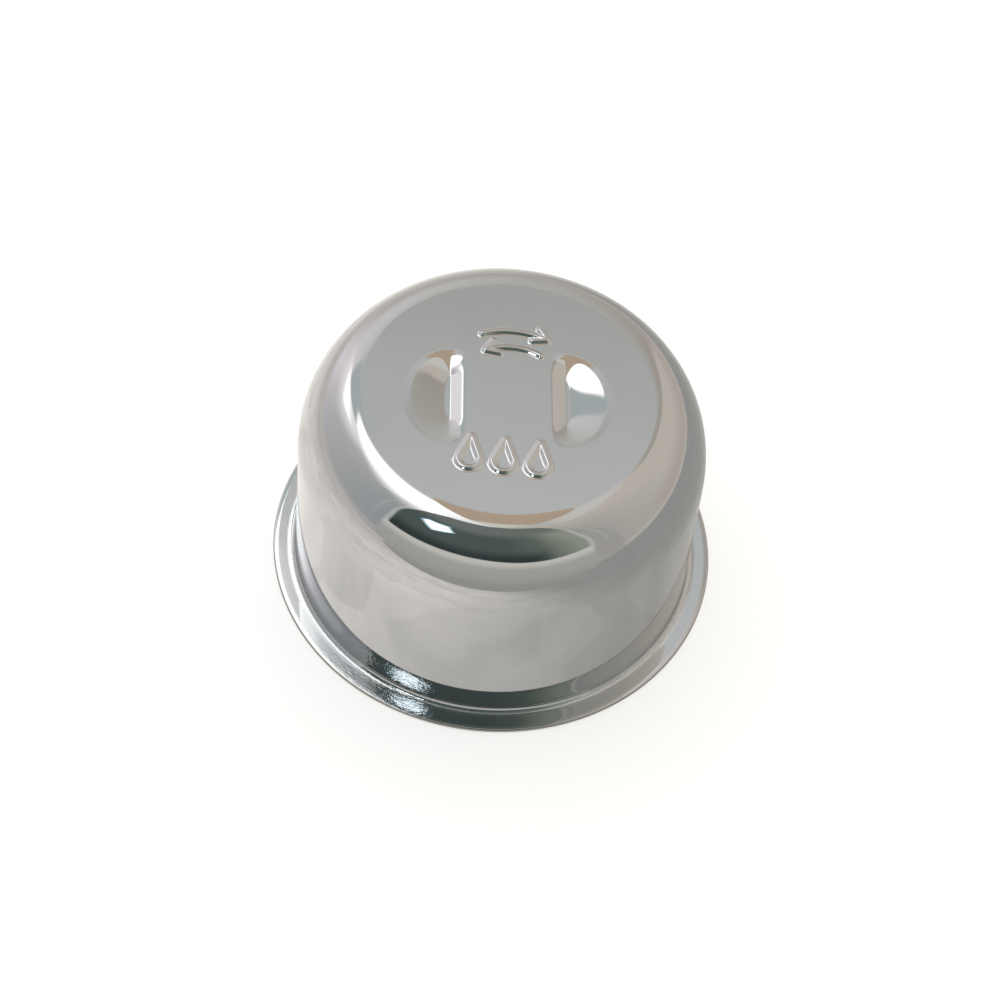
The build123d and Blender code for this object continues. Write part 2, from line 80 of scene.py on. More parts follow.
# %% [markdown]
# ## The finger pockets
# Two pockets are pressed into the flat crown, and the bar left between them is what the fingers
# turn. Each one drops beside the bar and rises gently away from it, like a shallow dish.
# One could cut them with booleans, but a mirror finish shows every facet of a cut. Here the depth
# is a formula instead: the dish's outline shrinks steadily from its lip to its floor, and how far
# it has shrunk when it passes a point gives the depth there.

# %% Pocket sizes
grip_bar_width = 14.6
grip_turn = radians(5.0)
pocket_reach = 10.1
pocket_front_reach = 10.2
pocket_back_reach = 9.2
pocket_depth = 0.98
pocket_wall_run = 2.2
pocket_floor_width = 0.9
pocket_front_run = 5.2
pocket_back_run = 4.7
bar_edge = grip_bar_width / 2
crease = bar_edge + pocket_wall_run
lip_middle = -1.1
floor_middle = -0.6


def dish_outline(width, middle, front_reach, back_reach):
    """Width from the crease, middle, and half lengths towards the front and the back."""
    return width, middle, front_reach + middle, back_reach - middle


dish_lip = dish_outline(pocket_reach - pocket_wall_run, lip_middle, pocket_front_reach, pocket_back_reach)
dish_floor = dish_outline(
    pocket_floor_width,
    floor_middle,
    pocket_front_reach - pocket_front_run,
    pocket_back_reach - pocket_back_run,
)
print("pocket crease at", crease, "mm from the middle of the bar")


# %% How far down the dish a point lies
def inside_dish(across, along, share):
    """True where a point lies inside the outline that is that share of the way to the floor."""
    width, middle, front, back = [a + (b - a) * share for a, b in zip(dish_lip, dish_floor)]
    past = along - middle
    half = np.where(past < 0, front, back)
    return (across / width) ** 2 + (past / half) ** 2 <= 1


halvings = 18


def dish_share(across, along):
    """0 at the dish's lip and 1 on its floor, found by halving the span again and again."""
    low = np.zeros_like(across)
    high = np.ones_like(across)
    for _ in range(halvings):
        share = (low + high) / 2
        inside = inside_dish(across, along, share)
        low = np.where(inside, share, low)
        high = np.where(inside, high, share)
    return low


# %% [markdown]
# Drawn sheet has no sharp edge. A slope that starts from nothing is rounded where it starts, over
# a stretch that suits the fold: wide at the dish's lip, narrow at the bar's edge, and almost
# nothing at the crease, which the press leaves crisp. The sheet round a pocket is also drawn in a
# little, so a shallow rim comes before the dish proper.

# %% Depth of the pockets
rim_share = 0.12
rim_fall = 0.04
rim_softness = 0.3
lip_softness = 0.15
bar_edge_softness = 0.16
crease_softness = 0.03


def soft_start(height, softness):
    """0 below zero, the height itself above, and a rounded change between them."""
    eased = np.clip(height + softness, 0, 2 * softness) ** 2 / (4 * softness)
    return eased + np.maximum(height - softness, 0)


def pocket_fall(x, y):
    """Depth of the pockets below the crown, in millimetres."""
    off_bar = np.abs(x * cos(grip_turn) + y * sin(grip_turn))
    along = y * cos(grip_turn) - x * sin(grip_turn)
    share = dish_share(np.maximum(off_bar - crease, 0), along)
    past_rim = np.maximum(share - rim_share, 0) / (1 - rim_share)
    dish = past_rim ** 2 / (past_rim + lip_softness) * (1 + lip_softness)
    rim = soft_start(np.minimum(share / rim_share, 1), rim_softness)
    dish = rim_fall * rim + (1 - rim_fall) * dish
    wall = soft_start((off_bar - bar_edge) / pocket_wall_run, bar_edge_softness)
    wall = 1 - soft_start(1 - wall, crease_softness)
    return pocket_depth * dish * wall


deepest = pocket_fall(np.array([crease + 0.3]), np.array([0.0]))[0]
print("pocket depth on its floor", round(float(deepest), 2))

# %% [markdown]
# ## Raised marks
# Such caps carry raised strokes in the crown, before and behind the grip bar. These are plain
# signs: three drops of oil in front, and two arrows behind that say that the cap turns both ways.
# Each sign is a path, and the sheet rises in a rounded bead along it. A bead in the height
# formula, rather than a separate strip, blends into the sheet as a pressed one does.

# %% Sizes of the marks
bead_half_width = 0.84
bead_height = 0.38
drop_radius = 1.75
drop_centre_y = -13.9
drop_tip_y = -9.1
drop_places = (-5.2, 0.4, 6.0)
arrow_radii = (13.6, 10.1)
arrow_reaches = (5.6, 4.8)
barb_length = 2.5
barb_lean = radians(34.0)


# %% Paths of the marks
def drop_path(centre_x):
    """Outline of a drop: a round belly whose sides run straight to the tip."""
    reach = drop_tip_y - drop_centre_y
    lean = pi / 2 - acos(drop_radius / reach)
    steps = 22
    first = pi - lean
    turn = pi + 2 * lean
    angles = [first + turn * i / steps for i in range(steps + 1)]
    belly = [(centre_x + drop_radius * cos(a), drop_centre_y + drop_radius * sin(a)) for a in angles]
    tip = (centre_x, drop_tip_y)
    return [tip] + belly + [tip]


def arrow_paths(radius, reach, side):
    """A shaft curved about the cap's axis, with an open head at the end on that side."""
    steps = 14
    span = reach / radius
    turns = [pi / 2 + side * span * (2 * i / steps - 1) for i in range(steps + 1)]
    shaft = [(radius * cos(a), radius * sin(a)) for a in turns]
    point = shaft[-1]
    backwards = turns[-1] - side * pi / 2
    barbs = []
    for lean in (-barb_lean, barb_lean):
        away = backwards + lean
        barbs.append([point, (point[0] + barb_length * cos(away), point[1] + barb_length * sin(away))])
    return [shaft] + barbs


mark_paths = [drop_path(x) for x in drop_places]
for radius, reach, side in zip(arrow_radii, arrow_reaches, (-1, 1)):
    mark_paths += arrow_paths(radius, reach, side)
print("strokes raised in the crown:", len(mark_paths))


# %% Height of the beads
far_away = 1000.0


def distance_to_path(x, y, path):
    """Shortest distance from each point to a path of straight runs."""
    nearest = np.full_like(x, far_away)
    for (ax, ay), (bx, by) in zip(path[:-1], path[1:]):
        run_x, run_y = bx - ax, by - ay
        share = ((x - ax) * run_x + (y - ay) * run_y) / (run_x ** 2 + run_y ** 2)
        share = np.clip(share, 0, 1)
        nearest = np.minimum(nearest, np.hypot(x - ax - share * run_x, y - ay - share * run_y))
    return nearest


def mark_rise(x, y):
    """Height of the raised strokes above the crown, in millimetres."""
    nearest = np.full_like(x, far_away)
    for path in mark_paths:
        nearest = np.minimum(nearest, distance_to_path(x, y, path))
    across = np.clip(nearest / bead_half_width, 0, 1)
    return bead_height * (0.5 + 0.5 * np.cos(pi * across))


# %% [markdown]
# ## The shell's profile
# The rest of the hat is turned about its axis: an elliptical shoulder, a wall with a little
# draft, a tight bend at the foot and a flat brim. The profile is worked out point by point, and
# dense where it bends, because the points become the rings of the mesh.

# %% Profile of the outside and the inside
def tangent_angle():
    """Ellipse angle at which the straight wall runs into the shoulder."""
    across = (foot_radius - crown_radius) / shoulder_width
    up = (wall_foot_z - shoulder_start) / shoulder_height
    return atan2(up, across) + acos(1 / hypot(across, up))


def shoulder_points(inset, count):
    """Points down the shoulder from the crown's edge, moved in by inset."""
    last = tangent_angle()
    angles = [pi / 2 + (last - pi / 2) * i / count for i in range(count + 1)]
    width = shoulder_width - inset
    height = shoulder_height - inset
    return [(crown_radius + width * cos(a), shoulder_start + height * sin(a)) for a in angles]


def arc_points(centre, radius, start, end, count):
    """Points of an arc in the profile, angles in degrees."""
    angles = [radians(start + (end - start) * i / count) for i in range(count + 1)]
    return [(centre[0] + radius * cos(a), centre[1] + radius * sin(a)) for a in angles]


def straight_points(first, last, count):
    """Points between two ends of a straight run, without the ends."""
    shares = [i / count for i in range(1, count)]
    return [(first[0] + (last[0] - first[0]) * s, first[1] + (last[1] - first[1]) * s) for s in shares]


# %% The whole profile, once round the sheet
shoulder_steps = 44
wall_steps = 7
foot_steps = 9
brim_steps = 4
edge_steps = 4
under_brim_steps = 3
inner_foot_steps = 6
inner_wall_steps = 4
inner_shoulder_steps = 16
bend_centre = (foot_radius + foot_bend, wall_foot_z)
edge_centre_r = brim_radius - brim_edge_round
shoulder = shoulder_points(0, shoulder_steps)
foot = arc_points(bend_centre, foot_bend, 180, 270, foot_steps)
edge_top = arc_points((edge_centre_r, shell_sheet - brim_edge_round), brim_edge_round, 90, 0, edge_steps)
edge_low = arc_points((edge_centre_r, brim_edge_round), brim_edge_round, 0, -90, edge_steps)
inner_foot = arc_points(bend_centre, foot_bend + shell_sheet, 270, 180, inner_foot_steps)
inner_shoulder = shoulder_points(shell_sheet, inner_shoulder_steps)[::-1]
sheet_profile = (
    shoulder
    + straight_points(shoulder[-1], foot[0], wall_steps)
    + foot
    + straight_points(foot[-1], edge_top[0], brim_steps)
    + edge_top
    + edge_low
    + straight_points(edge_low[-1], inner_foot[0], under_brim_steps)
    + inner_foot
    + straight_points(inner_foot[-1], inner_shoulder[0], inner_wall_steps)
    + inner_shoulder
)
print("profile points", len(sheet_profile))

# %% [markdown]
# ## The shell's mesh
# The mesh is a stack of rings about the axis. The crown's rings have twice as many points as the
# wall's, because the pockets and marks need them, and lie closest where the marks are. A ring of
# triangles joins the two densities. Smooth shading over a mesh this fine gives a clean mirror.

# %% Build the rings
wall_count = 240
crown_count = 480
middle_rings = np.linspace(0.6, 6.3, 10)
marked_rings = np.linspace(6.45, 18.0, 78)
edge_rings = np.linspace(18.3, crown_radius, 16)
crown_rings = np.concatenate([middle_rings, marked_rings, edge_rings])
inside_rings = np.linspace(crown_radius, 1.5, 34)


def ring_points(radius, count):
    """Places of one ring's points, in millimetres."""
    angles = np.arange(count) * 2 * pi / count
    return radius * np.cos(angles), radius * np.sin(angles)


points = [np.array([[0.0, 0.0, cap_height]])]
rings = [(0, 1)]
used = 1


def add_ring(x, y, z):
    """Adds one ring of points to the mesh."""
    global used
    points.append(np.column_stack([x, y, z]))
    rings.append((used, len(x)))
    used += len(x)


for radius in crown_rings:
    x, y = ring_points(radius, crown_count)
    add_ring(x, y, cap_height - pocket_fall(x, y) + mark_rise(x, y))
for radius, z in sheet_profile[1:]:
    x, y = ring_points(radius, wall_count)
    add_ring(x, y, np.full(wall_count, z))
for radius in inside_rings[1:]:
    x, y = ring_points(radius, wall_count)
    add_ring(x, y, cap_height - shell_sheet - pocket_fall(x, y))
add_ring(np.zeros(1), np.zeros(1), np.array([cap_height - shell_sheet]))
print("rings", len(rings), "points", used)


# %% Join the rings with faces
def join_rings(upper, lower):
    """Faces between two rings; one may have twice the points of the other, or be a single point."""
    (a, many), (b, few) = upper, lower
    if many == 1:
        return [(a, b + i, b + (i + 1) % few) for i in range(few)]
    if few == 1:
        return [(a + i, b, a + (i + 1) % many) for i in range(many)]
    if many == few:
        return [(a + i, b + i, b + (i + 1) % few, a + (i + 1) % many) for i in range(many)]
    faces = []
    for i in range(few):
        left, middle, right = a + 2 * i, a + 2 * i + 1, a + (2 * i + 2) % many
        low, next_low = b + i, b + (i + 1) % few
        faces += [(left, low, middle), (middle, next_low, right), (middle, low, next_low)]
    return faces


def mesh_piece(name, vertices, faces):
    """A smooth shaded mesh object from points in millimetres."""
    mesh = bpy.data.meshes.new(name)
    mesh.from_pydata([tuple(v) for v in np.asarray(vertices) * MM], [], faces)
    shaper = bmesh.new()
    shaper.from_mesh(mesh)
    bmesh.ops.recalc_face_normals(shaper, faces=shaper.faces)
    shaper.to_mesh(mesh)
    shaper.free()
    mesh.polygons.foreach_set("use_smooth", [True] * len(mesh.polygons))
    made = bpy.data.objects.new(name, mesh)
    bpy.context.scene.collection.objects.link(made)
    triangles = sum(len(p.vertices) - 2 for p in mesh.polygons)
    print(name, "has", triangles, "triangles")
    return made


shell_faces = []
for upper, lower in zip(rings[:-1], rings[1:]):
    shell_faces += join_rings(upper, lower)
shell = mesh_piece("chromed_shell", np.concatenate(points), shell_faces)
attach(shell, "root")
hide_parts("outer_shell")

# %% [markdown]
# ## Helpers for finishes
# Every finish is a small network of nodes on a Principled shader. A few short helpers keep the
# networks readable: one adds a node and fills its sockets, the others are the steps used most.
# Sockets are named by place where a node repeats a name: a Mix node keeps its share at 0, its two
# colours at 6 and 7, and the mixed colour at output 2.

# %% Node helpers
def add(tree, kind, inputs=None, **settings):
    """Adds a node, sets its options, and fills or links its inputs."""
    made = tree.nodes.new(kind)
    for key, value in settings.items():
        setattr(made, key, value)
    for key, value in (inputs or {}).items():
        if isinstance(value, bpy.types.NodeSocket):
            tree.links.new(value, made.inputs[key])
        else:
            made.inputs[key].default_value = value
    return made


def calc(tree, operation, first, second=0.0):
    """One sum on two values."""
    return add(tree, "ShaderNodeMath", {0: first, 1: second}, operation=operation).outputs[0]


def step(tree, value, low, high, at_low=0.0, at_high=1.0):
    """A smooth step of a value between two limits."""
    inputs = {0: value, 1: low, 2: high, 3: at_low, 4: at_high}
    return add(tree, "ShaderNodeMapRange", inputs, interpolation_type="SMOOTHSTEP").outputs[0]


def mix(tree, share, first, second):
    """Mixes two colours."""
    inputs = {0: share, 6: first, 7: second}
    return add(tree, "ShaderNodeMix", inputs, data_type="RGBA").outputs[2]


def noise(tree, place, scale, detail=3.0, rough=0.55):
    """Cloudy noise between 0 and 1."""
    inputs = {"Vector": place, "Scale": scale, "Detail": detail, "Roughness": rough}
    return add(tree, "ShaderNodeTexNoise", inputs).outputs["Fac"]


def stretched(tree, place, scale, turn=(0.0, 0.0, 0.0)):
    """The same place, turned and stretched, for grain and scratches."""
    return add(tree, "ShaderNodeMapping", {"Vector": place, "Rotation": turn, "Scale": scale}).outputs[0]


def bump(tree, height, depth, under=None):
    """Turns a height into a surface normal; depth is in metres."""
    inputs = {"Height": height, "Distance": depth, "Strength": 1.0}
    if under is not None:
        inputs["Normal"] = under
    return add(tree, "ShaderNodeBump", inputs).outputs["Normal"]


def new_finish(name):
    """A new material with its node tree, its shader and the place on the object."""
    material = bpy.data.materials.new(name)
    material.use_nodes = True
    tree = material.node_tree
    place = add(tree, "ShaderNodeTexCoord").outputs["Object"]
    print("new finish:", name)
    return material, tree, tree.nodes["Principled BSDF"], place


# %% [markdown]
# ## Chrome
# Decorative chrome is a hard mirror, a little darker and bluer than silver. What makes it look
# real is what is wrong with it: hairline scratches, a faint haze where it was wiped, and dirt that
# settles in the bend at the foot. The brim's rounded edge gets a painted brown reflection in its
# colour, and is rougher there.
# Scratches come from noise that is stretched into long thin streaks, in several directions. The
# front left of the brim is worn into short ripples that run round it and break up a reflection.
# They are noise too, measured along the radius and the turn instead of along x and y.

# %% Scratches and distances
def scratch_field(tree, place, turns, length_scale, width_scale, threshold):
    """Fine straight scratches in several directions, 0 for none and 1 for a scratch."""
    total = None
    for turn in turns:
        lane = stretched(tree, place, (length_scale, width_scale, length_scale), turn)
        streak = step(tree, noise(tree, lane, 1.0, 2.0, 0.5), threshold, threshold + 0.03)
        total = streak if total is None else calc(tree, "MAXIMUM", total, streak)
    return total


def cap_radius(tree, place):
    """Distance from the cap's axis, and height, in metres."""
    parts = add(tree, "ShaderNodeSeparateXYZ", {0: place}).outputs
    squares = calc(tree, "ADD", calc(tree, "POWER", parts[0], 2.0), calc(tree, "POWER", parts[1], 2.0))
    return calc(tree, "SQRT", squares), parts[2]


# %% Where the chrome is dirty or scratched, and where its edge has a painted reflection
brim_top = (0.0012, 0.0022)
brim_start = (0.0350, 0.0355)
crevice_end = (0.0358, 0.0366)
lip_start = (0.03872, 0.03894)
scratch_turns = [(0.3, 0.2, 0.4), (0.1, 0.5, 1.5), (0.6, 0.1, 2.5)]
chrome, tree, shader, place = new_finish("polished_chrome")
radius, height = cap_radius(tree, place)
scratches = scratch_field(tree, place, scratch_turns, 60.0, 3200.0, 0.74)
haze = step(tree, noise(tree, place, 60.0, 4.0, 0.55), 0.40, 0.80)
on_brim = calc(tree, "MULTIPLY", step(tree, height, *brim_top, 1.0, 0.0), step(tree, radius, *brim_start))
in_crevice = calc(tree, "MULTIPLY", on_brim, step(tree, radius, *crevice_end, 1.0, 0.0))
specks = step(tree, noise(tree, place, 2600.0, 3.0, 0.65), 0.50, 0.62)
dirt = calc(tree, "MULTIPLY", in_crevice, specks)
brim_lip = step(tree, radius, *lip_start)
print("brim starts", round(brim_start[0] / MM, 2), "mm from the axis")

# %% Colour and shine of the chrome
clean_chrome = (0.565, 0.568, 0.570, 1)
wiped_chrome = (0.550, 0.552, 0.552, 1)
cool_chrome = (0.545, 0.565, 0.580, 1)
settled_dirt = (0.20, 0.17, 0.13, 1)
# The brown on the brim's rounded edge is a painted reflection, not bare metal.
painted_brown_reflection = (0.33, 0.28, 0.22, 1)
plain = mix(tree, haze, clean_chrome, wiped_chrome)
cool = mix(tree, calc(tree, "MULTIPLY", on_brim, 0.8), plain, cool_chrome)
dirty = mix(tree, calc(tree, "MULTIPLY", dirt, 0.25), cool, settled_dirt)
# Painted reflection: the brim's rounded edge is mixed towards brown.
coloured = mix(tree, calc(tree, "MULTIPLY", brim_lip, 0.70), dirty, painted_brown_reflection)
tree.links.new(coloured, shader.inputs["Base Color"])
mirror_rough = 0.025
rough = calc(tree, "ADD", calc(tree, "MULTIPLY", haze, 0.012), mirror_rough)
for wear, added_rough in ((scratches, 0.05), (on_brim, 0.012), (brim_lip, 0.22)):
    rough = calc(tree, "ADD", rough, calc(tree, "MULTIPLY", wear, added_rough))
tree.links.new(rough, shader.inputs["Roughness"])
shader.inputs["Metallic"].default_value = 1.0

# %% Relief of the chrome
swell_depth = 0.000015
scratch_depth = 0.0000005
ripples_per_metre = 2100.0
ripples_per_radian = 28.0
ripple_share = 2.9
swell = noise(tree, place, 130.0, 2.0, 0.4)
grain = calc(tree, "MULTIPLY", on_brim, 0.05)
orange_peel = calc(tree, "MULTIPLY", noise(tree, place, 1500.0, 2.0, 0.5), grain)
spot = add(tree, "ShaderNodeSeparateXYZ", {0: place}).outputs
worn = calc(tree, "MULTIPLY", on_brim, step(tree, spot[1], -0.033, -0.023, 1.0, 0.04))
worn = calc(tree, "MULTIPLY", worn, step(tree, spot[0], -0.013, 0.001, 1.0, 0.12))
turn_of_spot = calc(tree, "ARCTAN2", spot[1], spot[0])
lane = {
    0: calc(tree, "MULTIPLY", radius, ripples_per_metre),
    1: calc(tree, "MULTIPLY", turn_of_spot, ripples_per_radian),
    2: 0.0,
}
ripples = noise(tree, add(tree, "ShaderNodeCombineXYZ", lane).outputs[0], 1.0, 3.0, 0.6)
ripples = calc(tree, "MULTIPLY", ripples, calc(tree, "MULTIPLY", worn, ripple_share))
relief = calc(tree, "ADD", calc(tree, "ADD", swell, orange_peel), ripples)
waves = bump(tree, relief, swell_depth)
tree.links.new(bump(tree, scratches, scratch_depth, waves), shader.inputs["Normal"])
shell.data.materials.append(chrome)
print("finish:", chrome.name, "with", len(tree.nodes), "nodes")

# %% [markdown]
# ## The other finishes
# The pieces under the shell are plain workshop finishes: zinc plate, spring steel, rivets,
# rubber, fibre and wire. They are seen from below and through the slots, so each gets its own
# grain, stains and wear. The frame's pieces keep their shape and only take a new material.
#
# Zinc plate keeps the pressed steel from rusting. It clouds and yellows in patches, so slow noise
# mixes two tints, with brown oil stains and rub marks over them.

# %% Zinc plate
fresh_zinc = (0.60, 0.61, 0.63, 1)
yellowed_zinc = (0.66, 0.63, 0.54, 1)
oil_stain = (0.24, 0.20, 0.15, 1)
zinc, tree, shader, place = new_finish("zinc_plate")
cloud = noise(tree, place, 90.0, 5.0, 0.6)
fine = noise(tree, place, 1400.0, 3.0, 0.6)
stain = step(tree, noise(tree, place, 210.0, 6.0, 0.7), 0.56, 0.72)
tint = mix(tree, step(tree, cloud, 0.3, 0.7), fresh_zinc, yellowed_zinc)
tint = mix(tree, calc(tree, "MULTIPLY", stain, 0.45), tint, oil_stain)
tree.links.new(tint, shader.inputs["Base Color"])
rough = calc(tree, "ADD", calc(tree, "MULTIPLY", cloud, 0.22), 0.20)
tree.links.new(calc(tree, "ADD", rough, calc(tree, "MULTIPLY", stain, 0.15)), shader.inputs["Roughness"])
rub_marks = scratch_field(tree, place, [(0.0, 0.0, 0.7), (0.0, 0.0, 2.2)], 60.0, 1900.0, 0.66)
zinc_height = calc(tree, "ADD", fine, calc(tree, "MULTIPLY", rub_marks, -0.5))
tree.links.new(bump(tree, zinc_height, 0.00002), shader.inputs["Normal"])
shader.inputs["Metallic"].default_value = 1.0

# %% [markdown]
# Springs are rolled and tempered, which leaves a blue to straw tint and a grain that runs one way.

# %% Spring steel
blued_steel = (0.22, 0.23, 0.27, 1)
straw_steel = (0.36, 0.33, 0.29, 1)
spring_steel, tree, shader, place = new_finish("spring_steel")
cloud = noise(tree, place, 160.0, 4.0, 0.6)
tint = mix(tree, cloud, blued_steel, straw_steel)
tree.links.new(tint, shader.inputs["Base Color"])
tree.links.new(step(tree, cloud, 0.2, 0.8, 0.22, 0.42), shader.inputs["Roughness"])
grain = noise(tree, stretched(tree, place, (150.0, 3000.0, 150.0)), 1.0, 2.0, 0.5)
tree.links.new(bump(tree, grain, 0.00001), shader.inputs["Normal"])
shader.inputs["Metallic"].default_value = 1.0

# %% [markdown]
# A rivet's head is set by blows: brighter steel, with shallow dents made by a coarse bump.

# %% Rivet steel
dull_rivet = (0.48, 0.47, 0.45, 1)
bright_rivet = (0.62, 0.61, 0.60, 1)
rivet_steel, tree, shader, place = new_finish("rivet_steel")
cloud = noise(tree, place, 700.0, 4.0, 0.6)
tint = mix(tree, cloud, dull_rivet, bright_rivet)
tree.links.new(tint, shader.inputs["Base Color"])
tree.links.new(step(tree, cloud, 0.3, 0.7, 0.24, 0.45), shader.inputs["Roughness"])
hammered = noise(tree, place, 1500.0, 2.0, 0.5)
tree.links.new(bump(tree, hammered, 0.00008), shader.inputs["Normal"])
shader.inputs["Metallic"].default_value = 1.0

# %% [markdown]
# The gasket is matt and nearly black. With age a grey bloom comes out of the rubber in clouds.

# %% Gasket rubber
black_rubber = (0.018, 0.018, 0.019, 1)
grey_bloom = (0.060, 0.058, 0.054, 1)
rubber, tree, shader, place = new_finish("gasket_rubber")
bloom = step(tree, noise(tree, place, 260.0, 5.0, 0.65), 0.45, 0.75)
tint = mix(tree, bloom, black_rubber, grey_bloom)
tree.links.new(tint, shader.inputs["Base Color"])
tree.links.new(calc(tree, "ADD", calc(tree, "MULTIPLY", bloom, 0.25), 0.48), shader.inputs["Roughness"])
grit = noise(tree, place, 2600.0, 3.0, 0.6)
tree.links.new(bump(tree, grit, 0.00005), shader.inputs["Normal"])
shader.inputs["Specular IOR Level"].default_value = 0.4

# %% [markdown]
# The seal under the basket is pressed brown fibre, so its noise is drawn out into strands.

# %% Pressed fibre
dark_fibre = (0.16, 0.085, 0.045, 1)
light_fibre = (0.30, 0.18, 0.10, 1)
fibre, tree, shader, place = new_finish("pressed_fibre")
strand = noise(tree, stretched(tree, place, (500.0, 2600.0, 500.0), (0.0, 0.0, 0.5)), 1.0, 4.0, 0.6)
tint = mix(tree, strand, dark_fibre, light_fibre)
tree.links.new(tint, shader.inputs["Base Color"])
tree.links.new(step(tree, strand, 0.2, 0.8, 0.65, 0.9), shader.inputs["Roughness"])
tree.links.new(bump(tree, strand, 0.00006), shader.inputs["Normal"])

# %% [markdown]
# The wire over the air inlets is dull where it was drawn, with a brown film of oil in places.

# %% Drawn wire
dull_wire = (0.42, 0.40, 0.36, 1)
bright_wire = (0.58, 0.57, 0.54, 1)
brown_oil = (0.16, 0.12, 0.08, 1)
wire, tree, shader, place = new_finish("drawn_wire")
cloud = noise(tree, place, 380.0, 4.0, 0.6)
oil_film = step(tree, noise(tree, place, 120.0, 4.0, 0.6), 0.45, 0.7)
tint = mix(tree, cloud, dull_wire, bright_wire)
tint = mix(tree, calc(tree, "MULTIPLY", oil_film, 0.5), tint, brown_oil)
tree.links.new(tint, shader.inputs["Base Color"])
tree.links.new(step(tree, cloud, 0.2, 0.8, 0.28, 0.48), shader.inputs["Roughness"])
shader.inputs["Metallic"].default_value = 1.0

# %% [markdown]
# Gauze sleeves and the knitted ring are packed in as plain solids, because nothing shows them
# from outside. Their look is a weave of crossing waves, as relief and as colour, with painted
# shade between the wires where the gaps of a real weave would be dark.

# %% Woven gauze and knitted wire
# Painted shade: the colour between the wires stands in for the dark gaps of a real weave.
painted_gap_shade = (0.07, 0.065, 0.06, 1)
top_of_wire = (0.52, 0.50, 0.46, 1)


def woven_finish(name, across, along, relief):
    """Crossing wires as relief and colour, with painted shade between them, and their spacing set by two
    scales.
    """
    material, tree, shader, place = new_finish(name)
    parts = add(tree, "ShaderNodeSeparateXYZ", {0: place}).outputs
    turn = calc(tree, "ARCTAN2", parts[1], parts[0])
    warp = calc(tree, "SINE", calc(tree, "MULTIPLY", turn, across))
    weft = calc(tree, "SINE", calc(tree, "MULTIPLY", parts[2], along))
    weave = calc(tree, "MAXIMUM", calc(tree, "ABSOLUTE", warp), calc(tree, "ABSOLUTE", weft))
    loose = noise(tree, place, 900.0, 3.0, 0.6)
    weave = calc(tree, "ADD", weave, calc(tree, "MULTIPLY", loose, 0.5))
    tint = mix(tree, step(tree, weave, 0.6, 1.3), painted_gap_shade, top_of_wire)
    tree.links.new(tint, shader.inputs["Base Color"])
    tree.links.new(step(tree, loose, 0.3, 0.7, 0.30, 0.50), shader.inputs["Roughness"])
    tree.links.new(bump(tree, weave, relief), shader.inputs["Normal"])
    shader.inputs["Metallic"].default_value = 1.0
    return material


gauze = woven_finish("woven_gauze", 150.0, 6000.0, 0.0001)
knitted = woven_finish("knitted_wire", 70.0, 3000.0, 0.0004)

# %% Give the frame's pieces their finish
finish_of = {
    "base_plate": zinc,
    "gauze_ring": zinc,
    "neck_socket": zinc,
    "splash_baffle": zinc,
    "stand_pipe": zinc,
    "filter_basket": zinc,
    "basket_lid": zinc,
    "gasket_washer": zinc,
    "socket_rivets": rivet_steel,
    "baffle_rivets": rivet_steel,
    "spring_rivet": rivet_steel,
    "spring_washer": spring_steel,
    "hold_down_spring": spring_steel,
    "filler_gasket": rubber,
    "basket_seal": fibre,
    "outer_gauze": gauze,
    "inner_gauze": gauze,
    "filter_mesh": knitted,
    "inlet_gauze": gauze,
    "outer_shell": chrome,
}
for name, material in finish_of.items():
    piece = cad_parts[name]
    if not piece.data.materials:
        piece.data.materials.append(material)
    for i in range(len(piece.material_slots)):
        piece.material_slots[i].material = material
print("finished pieces:", len(finish_of))

# %% [markdown]
# ## The gauze over the air inlets
# Behind the inlets lies a ring of woven wire. From below it is seen from close by, through slots
# a few millimetres wide, so here the weave is real: two sets of straight wires that pass over
# and under each other. Each wire is a thin four-sided bar along a wave, cut off where it leaves
# the ring. A bump would look flat at the slots' edges.

# %% Weave the gauze
gauze_low, gauze_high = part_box("inlet_gauze")
weave_outer = gauze_high.x / MM
weave_inner = 26.2
weave_middle = (gauze_low.z + gauze_high.z) / 2 / MM
wire_pitch = 0.62
wire_radius = 0.09
weave_sway = 0.10


def chords(offset):
    """Stretches of the line at that distance from the axis that lie on the ring."""
    outer = sqrt(max(weave_outer ** 2 - offset ** 2, 0))
    if abs(offset) >= weave_inner:
        return [(-outer, outer)]
    inner = sqrt(weave_inner ** 2 - offset ** 2)
    return [(-outer, -inner), (inner, outer)]


def wire_bar(start, end, offset, row, turned):
    """Points and faces of one wire between two ends, over and under the crossing wires."""
    half = wire_pitch / 2
    first = int(np.ceil(start / half))
    last = int(np.floor(end / half))
    stations = [start] + [i * half for i in range(first, last + 1)] + [end]
    vertices = []
    for along in stations:
        phase = pi * along / wire_pitch + pi * row
        z = weave_middle + weave_sway * cos(phase) * (-1 if turned else 1)
        for side, lift in ((1, 0), (0, 1), (-1, 0), (0, -1)):
            across = offset + side * wire_radius
            spot = (across, along) if turned else (along, across)
            vertices.append((spot[0], spot[1], z + lift * wire_radius))
    faces = [(3, 2, 1, 0)]
    for i in range(len(stations) - 1):
        a, b = 4 * i, 4 * i + 4
        faces += [(a + k, a + (k + 1) % 4, b + (k + 1) % 4, b + k) for k in range(4)]
    end_face = 4 * (len(stations) - 1)
    faces.append((end_face, end_face + 1, end_face + 2, end_face + 3))
    return vertices, faces


